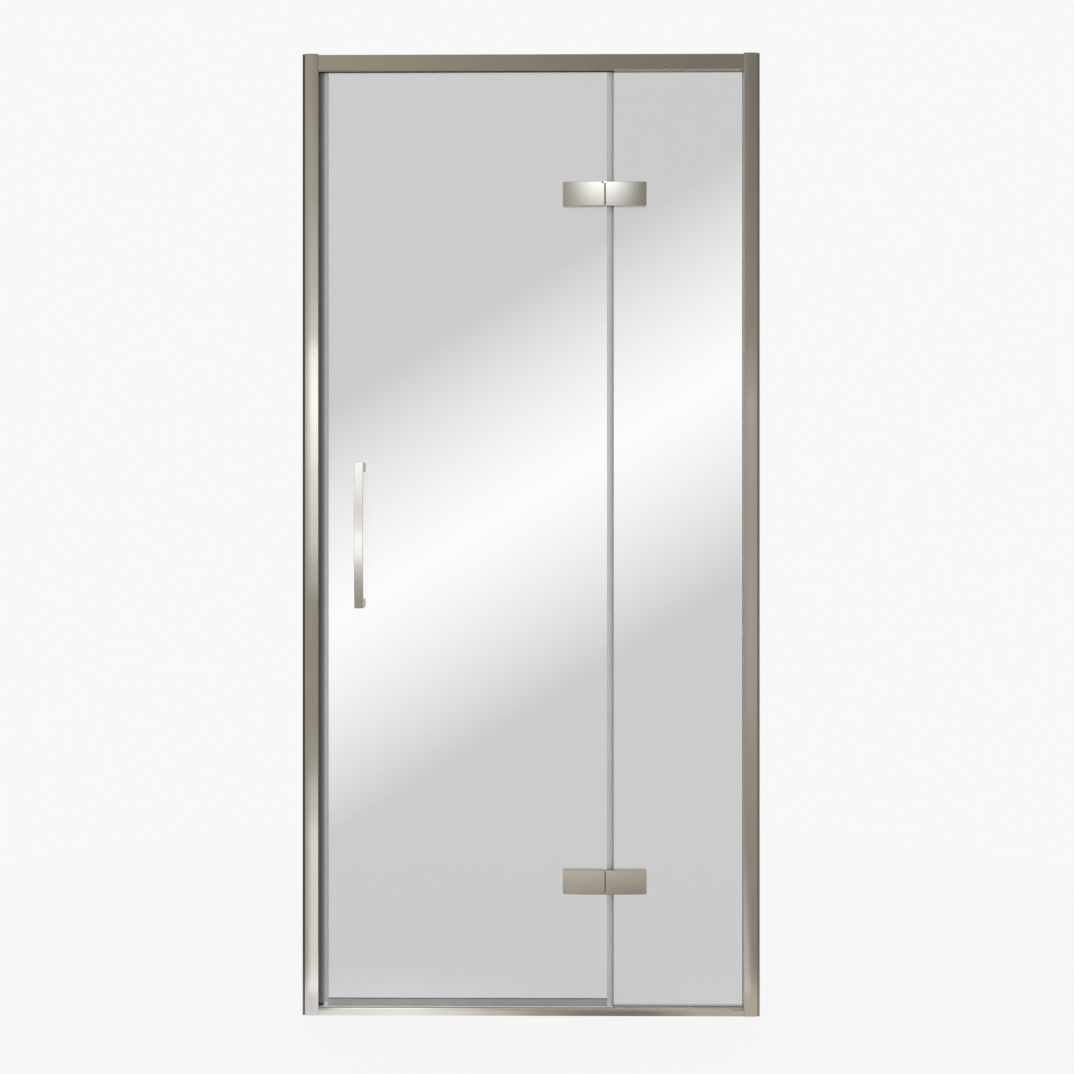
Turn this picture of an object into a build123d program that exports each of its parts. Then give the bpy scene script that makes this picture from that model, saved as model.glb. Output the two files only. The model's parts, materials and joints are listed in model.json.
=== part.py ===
from build123d import *
import os

# A framed shower front with one outward-opening pivot door and one fixed pane, in millimetres.
# +Z is up and the outside of the shower faces -Y. The origin is the middle of the threshold's
# underside, in the middle plane of the glass.

# Whole front
frame_width = 950.0
frame_height = 2000.0
glass_thickness = 8.0
pane_joint_x = 170.0
pane_gap = 6.0

# Jambs and the wall channels they slide over
face_width = 33.0
channel_strip = 5.5
front_reveal = 10.0
back_reveal = 14.0
jamb_wall = 1.6
jamb_web = 2.4
jamb_crown = 0.8
jamb_corner_radius = 1.6
channel_wall = 1.8
channel_leg = 24.0
telescope_gap = 0.3
cap_thickness = 1.6
cap_plug_length = 5.0
cap_plug_depth = 6.0

# Screws between the channels and the wall, and between the jambs and the channels
wall_hole_radius = 3.0
wall_screw_end_distance = 120.0
wall_screw_inner_spacing = 600.0
fixing_screw_inset = 18.0
fixing_screw_end_distance = 250.0
fixing_screw_radius = 2.0
fixing_screw_length = 10.0
fixing_head_radius = 3.75
fixing_head_height = 2.2
cover_radius = 5.5
cover_height = 3.5
cover_wall = 1.0

# Top rail and threshold
rail_height = 33.2
rail_edge_radius = 1.5
threshold_height = 16.5
threshold_crown = 1.5
threshold_edge_radius = 3.0
pocket_slack = 0.1
rail_pocket_depth = 13.5
port_block_height = 7.0
rail_back_rise = 8.0
rail_port_spacing = 10.0
rail_port_rise = 12.4
corner_screw_radius = 1.75
corner_screw_length = 30.0
corner_head_radius = 3.5
corner_head_height = 2.6

# Strips that close the rail and the threshold where the door is
infill_cap_thickness = 1.8
infill_cap_inset = 0.3
infill_leg_thickness = 1.6
infill_leg_length = 8.0
infill_pane_gap = 2.0
threshold_infill_overhang = 1.2

# Glazing of the fixed pane
gasket_thickness = 1.2
gasket_lip = 1.0
pane_bite = 10.0
pane_bottom_bite = 8.5
pane_top_bite = 11.5
jamb_pocket_depth = 13.0
setting_block_height = 1.8
setting_block_length = 60.0
setting_block_inset = 35.0

# Door pane and its seals
door_floor_gap = 7.5
door_head_gap = 0.5
seal_wall = 1.2
seal_leg_length = 8.1
magnet_width = 8.0
magnet_thickness = 2.4
magnet_slack = 0.1
magnet_cover = 1.0
magnet_seal_depth = 5.0
closing_gap = 1.0
seal_half_width = 5.2
seal_slot_opening = 5.0
seal_slot_width = 8.0
seal_slot_lip = 1.4
seal_slot_depth = 3.4
seal_end_gap = 0.3
bulb_half_width = 3.6
bulb_wall = 0.8
bulb_clearance = 0.3
drip_length = 4.6
drip_blade_thickness = 1.0
corner_pad_length = 9.0
corner_pad_height = 3.3
corner_pad_half_width = 8.0

# Hinges
hinge_bottom_height = 279.0
hinge_top_distance = 293.0
hinge_height = 51.0
pivot_offset = 18.8
pivot_stand_off = 11.0
barrel_radius = 4.0
pin_radius = 2.0
pin_running_gap = 0.05
bush_radius = 2.6
bush_length = 10.0
bush_flange_thickness = 0.8
bush_flange_radius = 3.1
lug_thickness = 3.5
outer_lug_radius = 3.9
inner_lug_radius = 3.1
lug_running_gap = 0.3
flange_running_gap = 0.1
leaf_slit = 4.3
leaf_length = 84.8
leaf_end_thickness = 10.5
leaf_corner_radius = 3.0
leaf_edge_radius = 1.0
leaf_relief = 1.5
leaf_gasket = 1.0
clamp_plate_thickness = 4.0
clamp_inset = 3.5
clamp_edge_gap = 2.0
hinge_screw_radius = 3.0
hinge_screw_head_radius = 6.0
hinge_screw_spacing = 36.0
hinge_screw_end_inset = 20.0
hinge_screw_depth = 6.0
grommet_radius = 5.8
glass_hole_slack = 0.2
thread_slack = 0.05
shank_slack = 0.2

# Handle
handle_edge_distance = 78.0
handle_height = 999.0
handle_centres = 282.0
handle_overlap = 9.6
handle_width = 18.5
handle_thickness = 6.0
handle_bow = 8.0
handle_projection = 41.0
handle_edge_radius = 1.6
post_width = 17.0
post_height = 18.0
post_edge_radius = 1.0
handle_washer_thickness = 1.0
outer_washer_radius = 7.8
rosette_radius = 7.6
rosette_height = 6.0
rosette_edge_radius = 1.5
handle_screw_head_radius = 5.5
handle_screw_head_height = 3.8
handle_screw_bite = 3.5
rosette_cavity_slack = 0.6

# Places worked out from the sizes above
half_width = frame_width / 2
jamb_inner_x = half_width - face_width
jamb_outer_x = half_width - channel_strip
jamb_height = frame_height - cap_thickness
glass_face = glass_thickness / 2
front_y = -glass_face - front_reveal
flat_front_y = front_y + jamb_crown
back_y = glass_face + back_reveal
hollow_front_y = flat_front_y + jamb_wall
hollow_back_y = back_y - jamb_wall
channel_front_y = hollow_front_y + telescope_gap
channel_back_y = hollow_back_y - telescope_gap
channel_mid_y = (channel_front_y + channel_back_y) / 2
middle_height = frame_height / 2
rail_bottom = jamb_height - rail_height
infill_bottom = rail_bottom - infill_cap_thickness
pocket_half_width = glass_face + gasket_thickness + pocket_slack
pocket_wall_y = pocket_half_width + jamb_wall
port_y = (pocket_wall_y + hollow_back_y) / 2
door_left = magnet_seal_depth + closing_gap + magnet_seal_depth - jamb_inner_x
door_right = pane_joint_x - pane_gap / 2
door_bottom = threshold_height + door_floor_gap
door_top = infill_bottom - door_head_gap
pane_left = pane_joint_x + pane_gap / 2
pane_right = jamb_inner_x + pane_bite
pane_bottom = threshold_height - pane_bottom_bite
pane_top = rail_bottom + pane_top_bite
infill_right = pane_left - infill_pane_gap
threshold_pocket_bottom = pane_bottom - gasket_thickness - setting_block_height
threshold_infill_top = threshold_height + infill_cap_thickness
pivot_x = pane_joint_x - pivot_offset
pivot_y = -glass_face - pivot_stand_off
leaf_back_y = -glass_face - leaf_gasket
leaf_front_y = pivot_y - barrel_radius
leaf_end_y = leaf_back_y - leaf_end_thickness
door_leaf_end_x = pivot_x - leaf_length
frame_leaf_start_x = pivot_x + leaf_slit
frame_leaf_end_x = frame_leaf_start_x + leaf_length
frame_clamp_start_x = pane_left + clamp_edge_gap
door_leaf_span = (door_leaf_end_x, pivot_x)
frame_leaf_span = (frame_clamp_start_x, frame_leaf_end_x)
door_clamp_span = (door_leaf_end_x + clamp_inset, pivot_x)
frame_clamp_span = (frame_clamp_start_x, frame_leaf_end_x - clamp_inset)
clamp_height = hinge_height - 2 * clamp_inset
clamp_back_y = glass_face + leaf_gasket + clamp_plate_thickness
barrel_half_height = hinge_height / 2 - lug_thickness - flange_running_gap - bush_flange_thickness
hinge_heights = (hinge_bottom_height, frame_height - hinge_top_distance)
hinge_outer_ends = (-1, 1)
handle_x = door_left + handle_edge_distance
handle_post_heights = (handle_height - handle_centres / 2, handle_height + handle_centres / 2)
handle_half_length = handle_centres / 2 + handle_overlap
handle_back_y = -glass_face - handle_projection
handle_front_y = handle_back_y - handle_thickness
glass_hole_radius = grommet_radius + glass_hole_slack
door_screw_xs = (door_leaf_end_x + hinge_screw_end_inset,
                 door_leaf_end_x + hinge_screw_end_inset + hinge_screw_spacing)
frame_screw_xs = (frame_leaf_end_x - hinge_screw_end_inset,
                  frame_leaf_end_x - hinge_screw_end_inset - hinge_screw_spacing)
wall_screw_heights = (wall_screw_end_distance,
                      middle_height - wall_screw_inner_spacing / 2,
                      middle_height + wall_screw_inner_spacing / 2,
                      frame_height - wall_screw_end_distance)
fixing_screw_x = jamb_inner_x + fixing_screw_inset
fixing_screw_heights = (fixing_screw_end_distance, middle_height, frame_height - fixing_screw_end_distance)
rail_port_heights = (rail_bottom + rail_port_rise, rail_bottom + rail_port_rise + rail_port_spacing)
threshold_port_height = threshold_height / 2
corner_screw_heights = (threshold_port_height, *rail_port_heights)


def span(low_u, high_u, low_v, high_v, mode=Mode.ADD):
    """A rectangle between two pairs of edges, in the sketch being drawn."""
    with Locations(((low_u + high_u) / 2, (low_v + high_v) / 2)):
        Rectangle(abs(high_u - low_u), abs(high_v - low_v), mode=mode)


def save(piece, node):
    """Label a finished piece and write it as one STEP file."""
    piece.part.label = node
    export_step(piece.part, f"parts/{node}.step")


def make_screws(seats, direction, head_radius, head_height, shank_radius, length, sunk=False):
    """Machine screws with a hexagon socket, each pointing from its seat along the direction.
    A pan head stands behind its seat, and a sunk head is a cone that starts level with it."""
    along = Vector(*direction)
    socket_radius = shank_radius * 0.75
    tip_length = shank_radius / 2
    with BuildPart() as screws:
        for seat in seats:
            base = Vector(*seat)
            with BuildSketch(Plane(base, x_dir=(0, 0, 1), z_dir=Vector(0, 0, 1).cross(along))):
                with BuildLine():
                    if sunk:
                        head = Polyline((0, 0), (head_radius, 0), (shank_radius, head_height))
                    else:
                        head = Polyline((0, -head_height), (head_radius, -head_height), (head_radius, 0),
                                        (shank_radius, 0))
                    Polyline(head @ 1, (shank_radius, length - tip_length),
                             (shank_radius - tip_length, length), (0, length), head @ 0)
                make_face()
            revolve(axis=Axis(base, along))
            top = base if sunk else base - along * head_height
            with BuildSketch(Plane(top, z_dir=along)):
                RegularPolygon(socket_radius, 6)
            extrude(amount=head_height * 0.6, mode=Mode.SUBTRACT)
    return screws


# Wall channels, jambs and their end caps

def make_wall_channel(side):
    """U-shaped channel whose base is screwed to the wall and whose legs run into the jamb."""
    with BuildPart() as channel:
        with BuildSketch():
            span(side * (half_width - channel_leg), side * half_width, channel_front_y, channel_back_y)
            span(side * (half_width - channel_leg), side * (half_width - channel_wall),
                 channel_front_y + channel_wall, channel_back_y - channel_wall, Mode.SUBTRACT)
        extrude(amount=jamb_height)
        with BuildSketch(Plane.YZ.offset(side * half_width)):
            with Locations(*[(channel_mid_y, z) for z in wall_screw_heights]):
                Circle(wall_hole_radius)
        extrude(amount=-side * channel_wall, mode=Mode.SUBTRACT)
        with BuildSketch(Plane.XZ.offset(-channel_back_y)):
            with Locations(*[(side * fixing_screw_x, z) for z in fixing_screw_heights]):
                Circle(fixing_screw_radius + thread_slack)
        extrude(amount=channel_wall, mode=Mode.SUBTRACT)
    return channel


def jamb_outline(side):
    """Hollow jamb section with a crowned front, open towards the wall."""
    inner_x = side * jamb_inner_x
    outer_x = side * jamb_outer_x
    web_x = side * (jamb_inner_x + jamb_web)
    with BuildSketch() as outline:
        with BuildLine():
            crown = ThreePointArc((inner_x, flat_front_y), ((inner_x + outer_x) / 2, front_y),
                                  (outer_x, flat_front_y))
            Polyline(crown @ 1, (outer_x, hollow_front_y), (web_x, hollow_front_y),
                     (web_x, hollow_back_y), (outer_x, hollow_back_y), (outer_x, back_y),
                     (inner_x, back_y), crown @ 0)
        make_face()
        fillet(outline.vertices().sort_by_distance((inner_x, flat_front_y))[0], jamb_corner_radius)
        fillet(outline.vertices().sort_by_distance((inner_x, back_y))[0], jamb_wall)
    return outline.sketch


def cut_jamb_holes(side):
    """Holes for the corner screws in the web and for the fixing screws in the back leg."""
    with BuildPart() as holes:
        with BuildSketch(Plane.YZ.offset(side * jamb_inner_x)):
            with Locations(*[(port_y, z) for z in corner_screw_heights]):
                Circle(corner_screw_radius + shank_slack)
        extrude(amount=side * jamb_web)
        with BuildSketch(Plane.XZ.offset(-back_y)):
            with Locations(*[(side * fixing_screw_x, z) for z in fixing_screw_heights]):
                Circle(fixing_screw_radius + shank_slack)
        extrude(amount=jamb_wall)
    return holes.part


def make_strike_jamb():
    """Left jamb, with the T-slot that holds the magnet seal the door closes on."""
    with BuildPart() as jamb:
        with BuildSketch():
            add(jamb_outline(-1))
            span(-jamb_inner_x, -jamb_inner_x - seal_slot_depth - seal_slot_lip,
                 -seal_slot_width / 2 - seal_slot_lip, seal_slot_width / 2 + seal_slot_lip)
            span(-jamb_inner_x, -jamb_inner_x - seal_slot_lip,
                 -seal_slot_opening / 2, seal_slot_opening / 2, Mode.SUBTRACT)
            span(-jamb_inner_x - seal_slot_lip, -jamb_inner_x - seal_slot_depth,
                 -seal_slot_width / 2, seal_slot_width / 2, Mode.SUBTRACT)
        extrude(amount=jamb_height)
        add(cut_jamb_holes(-1), mode=Mode.SUBTRACT)
    return jamb


def make_fixed_jamb():
    """Right jamb, with the pocket that holds the edge of the fixed pane."""
    with BuildPart() as jamb:
        with BuildSketch():
            add(jamb_outline(1))
            span(jamb_inner_x, jamb_inner_x + jamb_pocket_depth + jamb_wall, -pocket_wall_y, pocket_wall_y)
            span(jamb_inner_x, jamb_inner_x + jamb_pocket_depth,
                 -pocket_half_width, pocket_half_width, Mode.SUBTRACT)
        extrude(amount=jamb_height)
        add(cut_jamb_holes(1), mode=Mode.SUBTRACT)
    return jamb


def make_jamb_cap(side):
    """End cap over the tops of a jamb and its wall channel, held by two plugs in the hollow."""
    inner_x = side * jamb_inner_x
    outer_x = side * jamb_outer_x
    wall_x = side * half_width
    plug_start_x = side * (jamb_inner_x + jamb_web + telescope_gap)
    plug_end_x = plug_start_x + side * cap_plug_length
    with BuildPart() as cap:
        with BuildSketch(Plane.XY.offset(jamb_height)) as outline:
            with BuildLine():
                crown = ThreePointArc((inner_x, flat_front_y), ((inner_x + outer_x) / 2, front_y),
                                      (outer_x, flat_front_y))
                Polyline(crown @ 1, (outer_x, channel_front_y), (wall_x, channel_front_y),
                         (wall_x, channel_back_y), (outer_x, channel_back_y), (outer_x, back_y),
                         (inner_x, back_y), crown @ 0)
            make_face()
            fillet(outline.vertices().sort_by_distance((inner_x, flat_front_y))[0], jamb_corner_radius)
            fillet(outline.vertices().sort_by_distance((inner_x, back_y))[0], jamb_wall)
        extrude(amount=cap_thickness)
        with BuildSketch(Plane.XY.offset(jamb_height)):
            span(plug_start_x, plug_end_x, hollow_front_y + telescope_gap, -pocket_wall_y - telescope_gap)
            span(plug_start_x, plug_end_x, pocket_wall_y + telescope_gap, hollow_back_y - telescope_gap)
        extrude(amount=-cap_plug_depth)
    return cap


# Top rail, threshold and the strips that close them over and under the door

def make_top_rail():
    """Hollow rail between the jambs, with a glass pocket below and two screw ports in its raised back."""
    back_floor = rail_bottom + rail_back_rise
    with BuildPart() as rail:
        with BuildSketch(Plane.YZ.offset(-jamb_inner_x)) as section:
            span(flat_front_y, back_y, rail_bottom, jamb_height)
            fillet(section.vertices().group_by(Axis.X)[0], rail_edge_radius)
            span(hollow_front_y, hollow_back_y, rail_bottom + jamb_wall, jamb_height - jamb_wall,
                 Mode.SUBTRACT)
            span(pocket_wall_y, back_y, rail_bottom, back_floor, Mode.SUBTRACT)
            span(pocket_wall_y, back_y, back_floor, back_floor + jamb_wall)
            span(-pocket_wall_y, pocket_wall_y, rail_bottom, rail_bottom + rail_pocket_depth + jamb_wall)
            span(-pocket_half_width, pocket_half_width, rail_bottom, rail_bottom + rail_pocket_depth,
                 Mode.SUBTRACT)
            for port_z in rail_port_heights:
                span(pocket_half_width + pocket_slack, back_y - pocket_slack,
                     port_z - port_block_height / 2, port_z + port_block_height / 2)
            with Locations(*[(port_y, port_z) for port_z in rail_port_heights]):
                Circle(corner_screw_radius + thread_slack, mode=Mode.SUBTRACT)
        extrude(amount=2 * jamb_inner_x)
    return rail


def make_threshold():
    """Low sill between the jambs with a crowned front, a glass pocket and a screw port."""
    floor = jamb_wall
    roof = threshold_height - jamb_wall
    with BuildPart() as threshold:
        with BuildSketch(Plane.YZ.offset(-jamb_inner_x)) as section:
            with BuildLine():
                crown = ThreePointArc((front_y + threshold_crown, 0), (front_y, threshold_height / 2),
                                      (front_y + threshold_crown, threshold_height))
                Polyline(crown @ 1, (back_y, threshold_height), (back_y, 0), crown @ 0)
            make_face()
            fillet(section.vertices().sort_by_distance(crown @ 1)[0], threshold_edge_radius)
            span(hollow_front_y + threshold_crown, -pocket_wall_y, floor, roof, Mode.SUBTRACT)
            span(pocket_wall_y, hollow_back_y, floor, roof, Mode.SUBTRACT)
            span(-pocket_half_width, pocket_half_width, threshold_pocket_bottom, threshold_height,
                 Mode.SUBTRACT)
            span(pocket_half_width + pocket_slack, back_y - pocket_slack,
                 threshold_port_height - port_block_height / 2,
                 threshold_port_height + port_block_height / 2)
            with Locations((port_y, threshold_port_height)):
                Circle(corner_screw_radius + thread_slack, mode=Mode.SUBTRACT)
        extrude(amount=2 * jamb_inner_x)
    return threshold


def make_top_infill():
    """Strip that covers the front of the rail's underside over the door and clips into its pocket."""
    leg_outer_y = pocket_half_width - pocket_slack
    with BuildPart() as infill:
        with BuildSketch(Plane.YZ.offset(-jamb_inner_x)):
            span(flat_front_y + infill_cap_inset, leg_outer_y, infill_bottom, rail_bottom)
            for low_y in (-leg_outer_y, leg_outer_y - infill_leg_thickness):
                span(low_y, low_y + infill_leg_thickness, rail_bottom, rail_bottom + infill_leg_length)
        extrude(amount=jamb_inner_x + infill_right)
    return infill


def make_threshold_infill():
    """Strip that closes the threshold's glass pocket under the door."""
    leg_outer_y = pocket_half_width - pocket_slack
    cap_half_width = pocket_half_width + threshold_infill_overhang
    with BuildPart() as infill:
        with BuildSketch(Plane.YZ.offset(-jamb_inner_x)):
            span(-cap_half_width, cap_half_width, threshold_height, threshold_infill_top)
            for low_y in (-leg_outer_y, leg_outer_y - infill_leg_thickness):
                span(low_y, low_y + infill_leg_thickness,
                     threshold_height - infill_leg_length, threshold_height)
        extrude(amount=jamb_inner_x + infill_right)
    return infill


def make_corner_screws():
    """Screws from inside each jamb's hollow into the rail's and the threshold's ports."""
    web_x = jamb_inner_x + jamb_web
    sizes = (corner_head_radius, corner_head_height, corner_screw_radius, corner_screw_length)
    with BuildPart() as screws:
        add(make_screws([(-web_x, port_y, z) for z in corner_screw_heights], (1, 0, 0), *sizes).part)
        add(make_screws([(web_x, port_y, z) for z in corner_screw_heights], (-1, 0, 0), *sizes).part)
    return screws


def fixing_seats():
    """Points on the back of the jambs where they are screwed to the wall channels."""
    return [(side * fixing_screw_x, back_y, z) for side in (-1, 1) for z in fixing_screw_heights]


def make_fixing_screws():
    """Screws that lock each jamb on its wall channel once the front is plumb."""
    return make_screws(fixing_seats(), (0, -1, 0), fixing_head_radius, fixing_head_height,
                       fixing_screw_radius, fixing_screw_length)


def make_screw_covers():
    """Snap-on covers over the heads of the fixing screws."""
    with BuildPart() as covers:
        for x, y, z in fixing_seats():
            with BuildSketch(Plane((x, y, z), z_dir=(0, 1, 0))):
                Circle(cover_radius)
            extrude(amount=cover_height)
            with BuildSketch(Plane((x, y, z), z_dir=(0, 1, 0))):
                Circle(cover_radius - cover_wall)
            extrude(amount=cover_height - cover_wall, mode=Mode.SUBTRACT)
        fillet(covers.faces().sort_by(Axis.Y)[-6:].edges(), cover_wall / 2)
    return covers


# Fixed pane and what holds it

def hinge_hole_points(screw_xs):
    """Screw centres of both hinges, as points in the plane of the glass."""
    return [(x, z) for z in hinge_heights for x in screw_xs]


def make_fixed_glass():
    with BuildPart() as glass:
        with BuildSketch(Plane.XZ):
            span(pane_left, pane_right, pane_bottom, pane_top)
            with Locations(*hinge_hole_points(frame_screw_xs)):
                Circle(glass_hole_radius, mode=Mode.SUBTRACT)
        extrude(amount=glass_face, both=True)
    return glass


def make_side_gasket():
    """U-shaped gasket round the wall edge of the fixed pane."""
    outer_y = glass_face + gasket_thickness
    with BuildPart() as gasket:
        with BuildSketch(Plane.XY.offset(pane_bottom)):
            span(jamb_inner_x - gasket_lip, pane_right + gasket_thickness, -outer_y, outer_y)
            span(jamb_inner_x - gasket_lip, pane_right, -glass_face, glass_face, Mode.SUBTRACT)
        extrude(amount=pane_top - pane_bottom)
    return gasket


def make_edge_gasket(glass_edge, lip_edge):
    """U-shaped gasket round the top or bottom edge of the fixed pane."""
    outer_y = glass_face + gasket_thickness
    web_edge = glass_edge + gasket_thickness * (1 if glass_edge > lip_edge else -1)
    with BuildPart() as gasket:
        with BuildSketch(Plane.YZ.offset(pane_left)):
            span(-outer_y, outer_y, lip_edge, web_edge)
            span(-glass_face, glass_face, lip_edge, glass_edge, Mode.SUBTRACT)
        extrude(amount=jamb_inner_x - gasket_lip - pane_left)
    return gasket


def make_setting_blocks():
    """Packers in the threshold's pocket that carry the weight of the fixed pane."""
    low_x = pane_left + setting_block_inset
    high_x = jamb_inner_x - setting_block_inset
    with BuildPart() as blocks:
        with BuildSketch(Plane.XY.offset(threshold_pocket_bottom)):
            span(low_x, low_x + setting_block_length, -glass_face, glass_face)
            span(high_x - setting_block_length, high_x, -glass_face, glass_face)
        extrude(amount=setting_block_height)
    return blocks


# Door pane and its seals

def make_door_glass():
    with BuildPart() as glass:
        with BuildSketch(Plane.XZ):
            span(door_left, door_right, door_bottom, door_top)
            with Locations(*hinge_hole_points(door_screw_xs)):
                Circle(glass_hole_radius, mode=Mode.SUBTRACT)
            with Locations(*[(handle_x, z) for z in handle_post_heights]):
                Circle(glass_hole_radius, mode=Mode.SUBTRACT)
        extrude(amount=glass_face, both=True)
    return glass


def make_magnet_strip(low_x):
    """Magnet strip whose lower X face is given, as tall as the seal that holds it."""
    with BuildPart() as strip:
        with BuildSketch(Plane.XY.offset(door_bottom)):
            span(low_x, low_x + magnet_thickness, -magnet_width / 2, magnet_width / 2)
        extrude(amount=door_top - door_bottom)
    return strip


def make_jamb_magnet_seal():
    """Seal whose foot slides in the strike jamb's T-slot, with a pocket for its magnet."""
    face_x = -jamb_inner_x
    end_x = face_x + magnet_seal_depth
    pocket_x = end_x - magnet_cover
    low_z = threshold_infill_top + corner_pad_height + seal_end_gap
    high_z = infill_bottom - seal_end_gap
    with BuildPart() as seal:
        with BuildSketch(Plane.XY.offset(low_z)):
            span(face_x, end_x, -seal_half_width, seal_half_width)
            span(pocket_x - magnet_thickness - 2 * magnet_slack, pocket_x,
                 -magnet_width / 2 - magnet_slack, magnet_width / 2 + magnet_slack, Mode.SUBTRACT)
            span(face_x - seal_slot_lip - pocket_slack, face_x,
                 pocket_slack - seal_slot_opening / 2, seal_slot_opening / 2 - pocket_slack)
            span(face_x - seal_slot_depth + pocket_slack, face_x - seal_slot_lip - pocket_slack,
                 pocket_slack - seal_slot_width / 2, seal_slot_width / 2 - pocket_slack)
        extrude(amount=high_z - low_z)
    return seal


def make_door_magnet_seal():
    """Clip-on seal on the closing edge of the door, with a pocket for its magnet."""
    end_x = door_left - magnet_seal_depth
    pocket_x = end_x + magnet_cover
    with BuildPart() as seal:
        with BuildSketch(Plane.XY.offset(door_bottom)):
            span(end_x, door_left + seal_leg_length, -seal_half_width, seal_half_width)
            span(door_left, door_left + seal_leg_length, -glass_face, glass_face, Mode.SUBTRACT)
            span(pocket_x, pocket_x + magnet_thickness + 2 * magnet_slack,
                 -magnet_width / 2 - magnet_slack, magnet_width / 2 + magnet_slack, Mode.SUBTRACT)
        extrude(amount=door_top - door_bottom)
    return seal


def make_hinge_side_seal():
    """Clip-on seal on the hinge edge of the door, with a hollow bulb towards the fixed pane."""
    bulb_end_x = pane_left - bulb_clearance
    web_x = door_right + seal_wall
    bulb_round = (bulb_end_x - web_x) / 2
    low_z = door_bottom - drip_length
    with BuildPart() as seal:
        with BuildSketch(Plane.XY.offset(low_z)) as section:
            span(web_x - bulb_wall, bulb_end_x, -bulb_half_width, bulb_half_width)
            fillet(section.vertices().group_by(Axis.X)[-1], bulb_round)
            span(door_right - seal_leg_length, web_x, -glass_face - seal_wall, glass_face + seal_wall)
            span(door_right - seal_leg_length, door_right, -glass_face, glass_face, Mode.SUBTRACT)
            span(web_x, bulb_end_x - bulb_wall, bulb_wall - bulb_half_width, bulb_half_width - bulb_wall,
                 Mode.SUBTRACT)
        extrude(amount=door_top - low_z)
    return seal


def make_drip_seal():
    """Clip-on seal under the door with a blade that throws water back over the threshold."""
    tip_z = door_bottom - drip_length
    web_z = door_bottom - seal_wall
    blade_y = glass_face + seal_wall
    with BuildPart() as seal:
        with BuildSketch(Plane.YZ.offset(door_left + seal_leg_length)):
            span(-blade_y, blade_y, web_z, door_bottom + seal_leg_length)
            span(-glass_face, glass_face, door_bottom, door_bottom + seal_leg_length, Mode.SUBTRACT)
            span(-blade_y, drip_blade_thickness - blade_y, tip_z, web_z)
            with BuildLine():
                Polyline((0, web_z), (drip_blade_thickness, web_z), (blade_y, tip_z),
                         (blade_y - drip_blade_thickness, tip_z), (0, web_z))
            make_face()
        extrude(amount=door_right - seal_leg_length - door_left - seal_leg_length)
    return seal


def make_corner_pad():
    """Rubber pad that closes the gap beneath the magnet seals at the strike corner."""
    with BuildPart() as pad:
        with BuildSketch(Plane.XY.offset(threshold_infill_top)):
            span(seal_end_gap - jamb_inner_x, corner_pad_length - jamb_inner_x,
                 -corner_pad_half_width, corner_pad_half_width)
        extrude(amount=corner_pad_height)
    return pad


# Hinges

def make_door_leaf(middle_z, outer_end):
    """Front leaf on the door pane, with the barrel that turns between the frame leaf's lugs.
    It is notched at its outer end, and pocketed behind its front face at its inner end."""
    half_height = hinge_height / 2
    notch_x = pivot_x - outer_lug_radius - lug_running_gap
    with BuildPart() as leaf:
        with BuildSketch(Plane.XY.offset(middle_z)):
            with BuildLine():
                bow = TangentArc((pivot_x, leaf_front_y), (door_leaf_end_x, leaf_end_y), tangent=(-1, 0))
                Polyline(bow @ 1, (door_leaf_end_x, leaf_back_y), (pivot_x, leaf_back_y), bow @ 0)
            make_face()
        extrude(amount=half_height, both=True)
        fillet(leaf.edges().filter_by(Axis.Y).group_by(Axis.X)[0], leaf_corner_radius)
        facing = (door_leaf_end_x + leaf_length / 2, front_y * 2, middle_z)
        front = leaf.faces().sort_by_distance(facing)[0]
        inner_limit = pivot_x - leaf_edge_radius
        fillet(front.edges().filter_by(lambda edge: edge.center().X < inner_limit), leaf_edge_radius)
        with BuildSketch(Plane.XY.offset(middle_z + outer_end * barrel_half_height)):
            span(notch_x, pivot_x + barrel_radius, leaf_front_y, leaf_back_y)
        extrude(amount=outer_end * half_height, mode=Mode.SUBTRACT)
        with BuildSketch(Plane.XY.offset(middle_z - outer_end * barrel_half_height)):
            with Locations((pivot_x, pivot_y)):
                Circle(inner_lug_radius + lug_running_gap)
        extrude(amount=-outer_end * half_height, mode=Mode.SUBTRACT)
        with BuildSketch(Plane.XY.offset(middle_z)):
            with Locations((pivot_x, pivot_y)):
                Circle(barrel_radius)
        extrude(amount=barrel_half_height, both=True)
        with BuildSketch(Plane.XY.offset(middle_z)):
            with Locations((pivot_x, pivot_y)):
                Circle(pin_radius + shank_slack)
        extrude(amount=barrel_half_height, both=True, mode=Mode.SUBTRACT)
        for end in (-1, 1):
            with BuildSketch(Plane.XY.offset(middle_z + end * barrel_half_height)):
                with Locations((pivot_x, pivot_y)):
                    Circle(bush_radius)
            extrude(amount=-end * bush_length, mode=Mode.SUBTRACT)
        with BuildSketch(Plane.XZ.offset(-leaf_back_y)):
            with Locations(*[(x, middle_z) for x in door_screw_xs]):
                Circle(hinge_screw_radius + thread_slack)
        extrude(amount=hinge_screw_depth, mode=Mode.SUBTRACT)
    return leaf


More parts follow.
